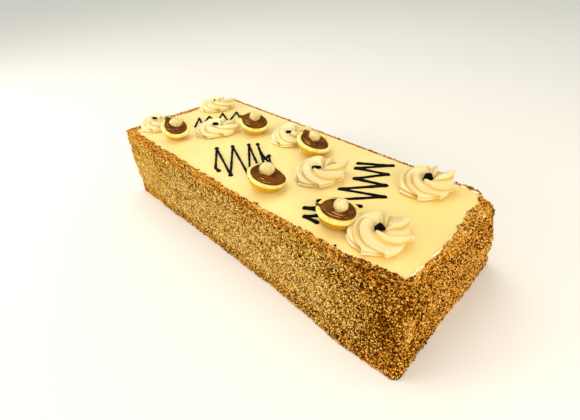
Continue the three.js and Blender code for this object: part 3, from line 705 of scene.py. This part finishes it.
# Each rosette: its middle, its radius and height, the direction where its tail points and how far
# that rises, its number of crests, where one of them ends outside, how much its right front is
# drawn in, and its chip as length, width, height, turn, corners, how much is left of the
# outline on top, and how far it lies from the middle in plan and above the crater's floor.
ROSETTES = [
    {"at": (-183, 39), "radius": 21.5, "height": 10, "tail": 42, "rise": 1.6, "crests": (7, 30),
     "draw": 0.05, "chip": (2.8, 1.8, 1.8, 40, 5, 0.5, (-5.8, 0.8, 2.8))},
    {"at": (-181.5, -44.3), "radius": 18.6, "height": 11, "tail": 60, "rise": 1, "crests": (7, 60),
     "draw": 0, "chip": (9.6, 2.8, 2.2, 46, 6, 0.8, (-5.8, -1.2, 3.0))},
    {"at": (-114, -5.2), "radius": 24.3, "height": 9.8, "tail": 40, "rise": 2, "crests": (7, 40),
     "draw": 0.2, "chip": (8.2, 3.4, 2.8, 42, 6, 0.7, (-2.2, -0.6, 2.4))},
    {"at": (-29, 35.8), "radius": 22.5, "height": 13, "tail": 80, "rise": 0.5, "crests": (7, 80),
     "draw": 0, "chip": (8.8, 3.0, 2.4, 46, 6, 0.8, (2.5, -6.8, 4.1))},
    {"at": (53, -2.5), "radius": 23.5, "height": 13, "tail": 58, "rise": 4.5, "crests": (7, 58),
     "draw": 0, "chip": (11.2, 3.4, 2.6, 38, 6, 0.8, (2.8, -7.2, 5.3))},
    {"at": (152.5, -39.3), "radius": 23.5, "height": 13, "tail": 68, "rise": 3.0, "crests": (7, 68),
     "draw": -0.1, "chip": (12, 6.5, 6.0, 42, 4, 0.12, (1.4, -0.8, 1.6))},
    {"at": (140, 45.5), "radius": 24.5, "height": 13, "tail": 62, "rise": 4.0, "crests": (8, 62),
     "draw": 0, "chip": (10.6, 5.8, 6.0, 42, 8, 0.6, (0.4, 0.6, 0.6))},
]


def around(angle, middle, width):
    """A bump from 0 to 1 round an angle, all in degrees."""
    return bell((angle - middle + 180) % 360 - 180, 0, width)


def turning(axis, degrees):
    """The matrix that turns points about one axis: 0 for X, 1 for Y or 2 for Z."""
    first, second = (axis + 1) % 3, (axis + 2) % 3
    matrix = np.eye(3)
    matrix[first, first] = matrix[second, second] = np.cos(np.radians(degrees))
    matrix[second, first] = np.sin(np.radians(degrees))
    matrix[first, second] = -matrix[second, first]
    return matrix


def curve_through(points, count):
    """A smooth curve through points: a Catmull-Rom spline sampled evenly by point number."""
    points = np.asarray(points, float)
    padded = np.concatenate([2 * points[:1] - points[1:2], points, 2 * points[-1:] - points[-2:-1]])
    at = np.linspace(0, len(points) - 1, count)
    first = np.minimum(at.astype(int), len(points) - 2)
    t = (at - first)[:, None]
    p0, p1, p2, p3 = (padded[first + k] for k in range(4))
    return 0.5 * (2 * p1 + (p2 - p0) * t + (2 * p0 - 5 * p1 + 4 * p2 - p3) * t**2
                  + (3 * p1 - p0 - 3 * p2 + p3) * t**3)


def rosette_mesh(at, radius, height, tail, rise, crests, draw, seed):
    """A lathe section whose columns follow the crests. A crest's outer end lies at a fixed angle,
    and towards the crater it winds back by an angle that is greatest for those that end at the
    front. Across a crest the surface drops steeply on its outer side, and on the inner side it
    falls away in a hollow. Also gives each point's painted crease shade, from 0 to 1: most in the
    creases, in the groove under the first turn and in the crater."""
    random = np.random.default_rng(seed)
    count, first = crests
    columns, rows = CREST_STEPS * count, 84
    section = curve_through(ROSETTE_SECTION, rows)
    out, up = section[:, 0][:, None], section[:, 1][:, None]
    way = np.linspace(0, 1, rows)[:, None]
    step = np.arange(columns)[None, :] / CREST_STEPS
    number = step.astype(int) % count
    share = step % 1 - 0.12 * np.sin(2 * np.pi * (step % 1))

    def from_crest_to_crest(values):
        return values[number] * (1 - share) + np.roll(values, -1)[number] * share

    strength = from_crest_to_crest(random.uniform(0.7, 1.2, count))
    shift = random.uniform(-6, 6, count)
    shift[0] = 0
    outer = first + 360 * (step.astype(int) + share) / count + from_crest_to_crest(shift)
    upper = way > 0.3
    wind = TURN_MEAN + TURN_SWING * np.cos(np.radians(outer - TURN_MOST))
    degrees = outer - wind * (ramp(out, 0.975, 0.415) * upper) ** 0.85
    degrees = degrees - 50 * ramp(out, 0.42, 0) * upper
    climb = ramp(share, CREST_SHARE, 0) ** 2 + ramp(share, CREST_SHARE, 1) ** 1.1
    envelope = ramp(way, 0.03, 0.13) * ramp(way, 0.95, 0.65) ** 0.8
    depth = CREST_DEPTH * height / 13 * strength * envelope
    lift = depth * (0.35 + 0.65 * np.sin(np.pi * way) ** 0.7) * (climb - 0.38)
    slope = ramp(way, 0.24, 0.46)
    petal = bell(np.minimum(share, 1 - share), 0, 0.2) * around(outer, PETALS, 85)
    petal = petal * bell(out, 0.98, 0.16) * (way > 0.18)
    pull = around(outer, tail, 20) * bell(way, 0.42, 0.14)
    foot = around(degrees, LOWER_TURN, 58) * bell(way, 0.13, 0.075)
    groove = around(degrees, LOWER_TURN, 66) * bell(way, 0.22, 0.03)
    drawn = draw * out * around(degrees, DRAWN_SIDE, 32)
    r = radius * (out + 0.12 * foot - 0.05 * groove + 0.09 * petal - drawn)
    r = r + lift * (1 - 0.8 * slope) * 0.7 + 0.5 * rise * pull
    z = height * up + 0.8 * lift * slope + rise * pull + 1.2 * petal
    body = lathe(r, np.radians(degrees), z) + (*at, 0)
    soft = lumps(body + seed * 50.0, 8.0, 40 + seed)
    body[..., 2] += 0.5 * soft * ramp(way, 0, 0.1) * ramp(way, 1, 0.9)
    body[..., 2] = HEIGHT + np.maximum(body[..., 2], -0.6)
    # Painted shade: the creases, the groove under the first turn and the crater get a shade value
    # for the colour.
    crease_shade = envelope * np.clip(1 - climb * 3.0, 0, 1) ** 2.2 + 0.9 * groove
    crease_shade = np.clip(crease_shade + 0.45 * bell(out, 0, 0.26), 0, 1)
    return *closed_rings(body), crease_shade.ravel()


def chip_mesh(at, floor, length, width, height, turn, sides, top, aside, seed):
    """A chip: a flat polygon of few sides with an uneven outline, drawn in at its foot and its
    top."""
    random = np.random.default_rng(seed)
    angle = 2 * np.pi * (np.arange(sides) + 0.5) / sides + random.uniform(-0.12, 0.12, sides)
    outline = np.stack([np.cos(angle) * length, np.sin(angle) * width], -1) / 2
    outline *= random.uniform(0.88, 1.08, (sides, 1))
    outline = np.pad(outline, ((0, 0), (0, 1))) @ turning(2, turn).T
    middle = np.array([*at, HEIGHT + floor]) + aside
    levels = [(0.85, 0.0), (1.0, 0.12), ((1 + top) / 2, 0.58), (top + 0.08, 0.93), (top, 1.0)]
    rings = [scale * outline + (0, 0, height * up) for scale, up in levels]
    return closed_rings(np.stack(rings) + middle)


cream, place, finish = new_material(
    "piped_cream", roughness=0.42, specular=0.35, soft=(0.08, (0.006, 0.0042, 0.002), 0.45))
wash = place.noise(60.0).between(0.3, 0.7)
far_end = place.axis(0).between(0.09, -0.02)
body_colour = far_end.blend(wash.blend((0.765, 0.575, 0.268), (0.805, 0.622, 0.33)),
                            wash.blend((0.81, 0.68, 0.345), (0.85, 0.73, 0.42)))
# Painted shade: the cream turns tan where the crease shade is high.
shaded = place.attribute("crease_shade").between(0.12, 0.95).blend(body_colour, (0.62, 0.42, 0.10))
finish(Base_Color=shaded, Normal=bump_from(place, place.noise(1100.0), 0.00015, 0.5))


def give_points(piece, name, values):
    """Gives each point of a piece a number under this name, which its material reads."""
    attribute = piece.data.attributes.new(name, "FLOAT", "POINT")
    attribute.data.foreach_set("value", values.astype(np.float32))


for number, rosette in enumerate(ROSETTES, start=1):
    shape = [rosette[key] for key in ("at", "radius", "height", "tail", "rise", "crests", "draw")]
    *mesh, crease_shade = rosette_mesh(*shape, number)
    piece = make_piece(f"piped_rosette_{number}", mesh, cream)
    give_points(piece, "crease_shade", crease_shade)
    crater = CRATER_FLOOR * rosette["height"]
    mesh = chip_mesh(rosette["at"], crater, *rosette["chip"], 60 + number)
    chip = make_piece(f"chip_{number}", mesh, chocolate, smooth=False)
    for part, finish_slot in ((piece, "cream"), (chip, "chocolate")):
        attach(part, "root")
        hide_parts(f"rosette_{number}")

# Tartlets: shallow shells of short pastry, baked in a round tin and set on the icing at a slant
# before it firmed. Each was filled with hazelnut chocolate spread, stirred with a spoon tip.
SHELL_HEIGHT = 11.2
SHELL_FLOOR = 2.6
FILLING_LEVEL = 9.7
FILLING_FOOT = 5.0
RIDGE_HEIGHT = 1.25
# A plain bowl that stands for the shell when it is set down, as shares of its radius and height
PLAIN_BOWL = np.array([[0.5, 0], [0.77, 0.06], [0.92, 0.66], [1, 0.8]])
# The shell's profile from the foot up to the lip, as shares of its radius and heights
SHELL_PROFILE = [
    (0.2, 0.0), (0.5, 0.0), (0.70, 0.05), (0.765, 0.5), (0.80, 1.6), (0.845, 3.6), (0.885, 5.6),
    (0.915, 7.3), (0.93, 7.8), (0.965, 8.05), (0.99, 8.5), (1.0, 9.2)]
# Each tartlet: the middle of its foot, its rim radius, the width of its lip, its lean in degrees
# about X and Y, where spread runs over the lip as direction, half width and reach, and the
# middle of its nut as x, y and height.
TARTLETS = [
    {"at": (-138, -46), "radius": 15.4, "lip": 4.3, "lean": (1, 29), "spill": (187, 12, 2.6),
     "nut": (-5.2, 3.4, 9.7)},
    {"at": (-81.5, 22.2), "radius": 17.2, "lip": 3.6, "lean": (0.5, 20), "spill": (212, 11, 3.2),
     "nut": (-5.8, 4.3, 11.8)},
    {"at": (11.3, 26.8), "radius": 18.3, "lip": 4.3, "lean": (9, 19), "spill": (172, 13, 2.2),
     "nut": (-4.3, 3.0, 12.7)},
    {"at": (29.5, -50.3), "radius": 17.7, "lip": 3.3, "lean": (12, 18), "spill": (48, 24, 1.2),
     "nut": (-5.6, 3.4, 12.0)},
    {"at": (115.2, -46.3), "radius": 18.1, "lip": 4.6, "lean": (7.5, 8.5), "spill": (213, 7, 3.6),
     "nut": (-1.6, 3.8, 12.2)},
]


def set_down(mesh, tartlet):
    """Turns a mesh of a tartlet about the middle of its foot, first about Y, then about X, and
    lifts it so that the lowest point of the leaning bowl touches the icing."""
    points, faces, caps = mesh
    turn = (turning(0, -tartlet["lean"][0]) @ turning(1, tartlet["lean"][1])).T
    wide, up = PLAIN_BOWL[:, :1], PLAIN_BOWL[:, 1:]
    bowl = lathe(tartlet["radius"] * wide, all_round(72), SHELL_HEIGHT * up) @ turn
    return points @ turn + (*tartlet["at"], HEIGHT - bowl[..., 2].min()), faces, caps


def lip_width(lip, degrees, spill, seed):
    """A lip a little wider at the front left, uneven, and thin at the rear and where the spread ran
    over it."""
    width = lip - 0.3 + 0.3 * np.sin(np.radians(3 * degrees) + seed)
    width = width + 0.5 * around(degrees, 250, 75) - 0.5 * lip * around(degrees, 152, 75)
    return width - 0.8 * around(degrees, spill[0], 1.5 * spill[1])


def shell_mesh(radius, lip, spill, seed):
    """A lathe whose profile goes from the foot up the wall, out under the round uneven lip, over it
    and down the inside. Also gives how high up each point is, from 0 to 1."""
    angle = all_round(120)
    degrees = np.degrees(angle)
    lip = lip_width(lip, degrees, spill, seed)
    inner = radius - lip
    rings = [(share * radius, up) for share, up in SHELL_PROFILE]
    rings += [(radius - 0.1, 9.9), (radius - 0.55, 10.6), (radius - 1.2, 11.0),
              (inner + 0.5 * lip, 11.1), (inner + 0.8, 10.95), (inner + 0.25, 10.5),
              (inner - 0.1, 9.7), (0.95 * inner, 7.5), (0.85 * inner, 5.0),
              (0.6 * inner, SHELL_FLOOR + 0.2), (0.1 * inner, SHELL_FLOOR)]
    r = np.stack([np.broadcast_to(out, angle.shape) for out, _ in rings])
    z = np.stack([np.full(angle.shape, up) for _, up in rings])
    level = z / SHELL_HEIGHT
    uneven = 0.3 * lumps(lathe(r, angle, z) + 90.0 * seed, 6.0, 70 + seed) * level
    notch = 1.1 * around(degrees, spill[0], spill[1]) * ramp(level, 0.85, 1)
    z = z + uneven * (level > 0.3) - 0.15 - notch
    return *closed_rings(lathe(r + uneven, angle, z)), level.ravel()


def filling_mesh(radius, lip, spill, middle, seed):
    """The spread's surface on a polar grid, with uneven ridges round the middle of the nut where
    the spoon went and a tongue over the lip, above a plain underside. Also gives how far up a
    ridge each point is, from 0 to 1, which the material paints as a highlight on the crests."""
    columns, rows = 150, 60
    angle = all_round(columns)
    degrees = np.degrees(angle)
    tongue = around(degrees, spill[0], spill[1])
    edge = radius - lip_width(lip, degrees, spill, seed) - 0.05 + spill[2] * tongue
    share = np.linspace(0.02, 1, rows)[::-1, None] ** 0.8
    x, y = edge * share * np.cos(angle), edge * share * np.sin(angle)
    spot = np.stack([x, y, 0 * x], -1)
    away = np.hypot(x - middle[0], y - middle[1])
    wave = np.sin(away * 2.0 + 1.8 * lumps(spot, 6.0, 80 + seed) + seed)
    strength = np.clip(lumps(spot + (0, 0, 9), 5.0, 90 + seed) * 1.6 + 0.7, 0.05, 1)
    strength = strength * (0.3 + 0.85 * around(degrees, 285, 62)) * ramp(share, 1, 0.8)
    highlit_ridge = np.clip(0.5 + 0.5 * wave, 0, 1) ** 2.5 * strength
    over_lip = (SHELL_HEIGHT - FILLING_LEVEL) * tongue * ramp(share, 0.6, 0.8)
    z = FILLING_LEVEL + RIDGE_HEIGHT * highlit_ridge + 0.3 * share**6 + over_lip
    top = np.stack([x, y, z], -1)
    inwards = 0.8 / (1 + 0.3 * tongue)
    below = np.stack([inwards * x[:1], inwards * y[:1], np.full((1, columns), FILLING_FOOT)], -1)
    height = np.concatenate([np.zeros(2 * columns), highlit_ridge.ravel()])
    return *closed_rings(np.concatenate([below, top[:1] - (0, 0, 1.6), top])), height


pastry, place, finish = new_material(
    "short_pastry", roughness=0.6, specular=0.1, soft=(0.03, (0.004, 0.0025, 0.001), 0.4))
mottle = place.noise(240.0, 4.0, 0.6)
far_end = place.axis(0).between(0.075, 0.01)
wall_colour = far_end.blend((0.40, 0.21, 0.002), (0.63, 0.36, 0.010))
lip_colour = far_end.blend((0.80, 0.625, 0.19), (0.84, 0.71, 0.25))
baked = place.attribute("level").between(0.55, 0.92).blend(wall_colour, lip_colour)
finish(Base_Color=mottle.between(0.46, 0.76).blend(baked, (0.70, 0.41, 0.030)),
       Normal=bump_from(place, place.noise(800.0, 4.0, 0.6), 0.0003, 0.6))
spread_choc, place, finish = new_material("hazelnut_spread", roughness=0.16, specular=0.05)
stirring = place.noise(110.0).between(0.35, 0.65)
stirred = stirring.blend((0.078, 0.020, 0.0002), (0.165, 0.052, 0.0005))
# Painted highlight: the ridge crests are coloured pale tan to stand for glints on the glossy
# spread.
finish(Base_Color=place.attribute("highlit_ridge").between(0.35, 0.85).blend(stirred, (0.56, 0.27, 0.075)),
       Normal=bump_from(place, place.noise(420.0), 0.0002, 0.4))
for number, tartlet in enumerate(TARTLETS, start=1):
    bowl = [tartlet[key] for key in ("radius", "lip", "spill")]
    *mesh, level = shell_mesh(*bowl, number)
    shell = make_piece(f"pastry_shell_{number}", set_down(mesh, tartlet), pastry)
    give_points(shell, "level", level)
    *mesh, highlit_ridge = filling_mesh(*bowl, tartlet["nut"], number)
    filling = make_piece(f"spread_filling_{number}", set_down(mesh, tartlet), spread_choc)
    give_points(filling, "highlit_ridge", highlit_ridge)
    for part, finish_slot, node in ((shell, "pastry", "tartlet_shell"),
                                    (filling, "chocolate", "tartlet_filling")):
        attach(part, "root")
        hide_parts(f"{node}_{number}")

# Hazelnuts: one peeled, roasted kernel pressed into the spread of each tartlet, behind its
# middle. They are pale, with a blunt point, flat spots and a little brown skin left on.
NUT_TIP = 68
# Each nut: its radius, how much longer it is, the direction of its point, how drawn out that point
# and how deep the furrow is, and how far out the flat spots lie.
NUTS = [
    (6.0, 1.25, 66, 0.10, 0.0, 0.92), (6.3, 1.0, 50, 0.16, 0.0, 0.84),
    (6.6, 1.04, 100, 0.32, 0.0, 0.82), (6.6, 1.1, 60, 0.10, 0.5, 0.93),
    (6.2, 1.0, 200, 0.08, 0.0, 0.95)]


def nut_mesh(radius, stretch, point, lobe, facet, seed):
    """A ball in spherical coordinates, narrowed towards its point, cut by a dozen soft planes at a
    share facet of its radius, and parted into lobes by a shallow furrow."""
    random = np.random.default_rng(100 + seed)
    polar = np.linspace(0.02, np.pi - 0.02, 44)[:, None]
    direction = lathe(np.sin(polar), all_round(64), -np.cos(polar))
    planes = random.normal(size=(13, 3))
    planes /= np.linalg.norm(planes, axis=1)[:, None]
    reach = facet * random.uniform(0.97, 1.05, 13) / np.clip(direction @ planes.T, 0.05, None)
    reach = np.concatenate([reach, np.ones(reach.shape[:2] + (1,))], -1)
    ball = -np.log(np.exp(-18 * reach).mean(-1) * reach.shape[-1]) / 18
    ball = ball + 0.02 * lumps(direction * 4 + seed * 9, 1.0, 110 + seed)
    furrow = bell(direction[..., 0], 0.2, 0.12) * (direction[..., 2] > -0.6)
    points = radius * (ball * (1 - 0.16 * lobe * furrow))[..., None] * direction
    points[..., :2] *= 1 - point * np.clip(points[..., 2:] / radius, 0, 1) ** 1.3
    points[..., 2] *= stretch + 0.5 * point * (points[..., 2] > 0)
    return closed_rings(points)


nut, place, finish = new_material(
    "hazelnut_kernel", roughness=0.48, specular=0.35, soft=(0.06, (0.003, 0.002, 0.001), 0.5))
skin = place.noise(420.0, 4.0, 0.65).between(0.5, 0.7)
pale = place.noise(180.0, 2.0).between(0.3, 0.7).blend((0.64, 0.495, 0.185), (0.745, 0.615, 0.31))
finish(Base_Color=skin.blend(pale, (0.56, 0.38, 0.13)),
       Normal=bump_from(place, place.noise(900.0, 4.0), 0.0003, 0.6))
for number, (tartlet, shape) in enumerate(zip(TARTLETS, NUTS), start=1):
    radius, stretch, heading, *form = shape
    points, *rest = nut_mesh(radius, stretch, *form, number)
    points = points @ (turning(2, heading) @ turning(1, NUT_TIP)).T + tartlet["nut"]
    kernel = make_piece(f"nut_kernel_{number}", set_down((points, *rest), tartlet), nut)
    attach(kernel, "root")
    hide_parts(f"hazelnut_{number}")

# Floor, light and camera: a plain pale floor, three soft boxes and an even pale surround, and the
# camera off the near end's front corner, which looks down along the cake.
FLOOR_REACH = 6000
floor_paint, place, finish = new_material("floor_paint", roughness=0.8, specular=0.2)
finish(Base_Color=place.noise(3.0).blend((0.80, 0.74, 0.68), (0.82, 0.76, 0.70)))
corners = FLOOR_REACH * np.array([[-1.0, -1, 0], [1, -1, 0], [1, 1, 0], [-1, 1, 0]])
floor = make_piece("floor", (corners, np.array([[0, 1, 2, 3]]), []), floor_paint)

world = bpy.data.worlds.new("studio")
bpy.context.scene.world = world
world.use_nodes = True
background = world.node_tree.nodes["Background"].inputs
background["Color"].default_value = (0.93, 1.0, 0.965, 1)
background["Strength"].default_value = 0.77


def soft_box(name, place, aim, size, power, colour):
    """A square area light that faces a point."""
    light = bpy.data.lights.new(name, "AREA")
    light.size = size
    light.energy = power
    light.color = colour
    lamp = bpy.data.objects.new(name, light)
    lamp.location = Vector(place)
    lamp.rotation_euler = (Vector(aim) - Vector(place)).to_track_quat("-Z", "Y").to_euler()
    bpy.context.scene.collection.objects.link(lamp)


soft_box("key", (-0.5, 0.15, 1.5), (0.05, 0, 0.05), 1.1, 8.3, (1.0, 0.98, 0.95))
soft_box("side", (-0.75, -0.8, 0.28), (-0.12, -0.05, 0.04), 0.6, 9.3, (1.0, 0.98, 0.95))
soft_box("end", (1.0, -0.35, 0.45), (0.2, 0, 0.04), 0.6, 8.5, (1.0, 0.90, 0.74))

camera = bpy.data.objects.new("camera", bpy.data.cameras.new("camera"))
camera.data.sensor_width = 36
camera.data.lens = 25.52
camera.data.shift_x = -0.0967
camera.data.shift_y = -0.0271
camera.data.clip_start = 0.01
camera.location = (0.30027, -0.23586, 0.27549)
camera.rotation_euler = (1.0033437, 0.0175061, 0.7325302)
bpy.context.scene.collection.objects.link(camera)
bpy.context.scene.camera = camera
bpy.context.scene.view_settings.view_transform = "Standard"
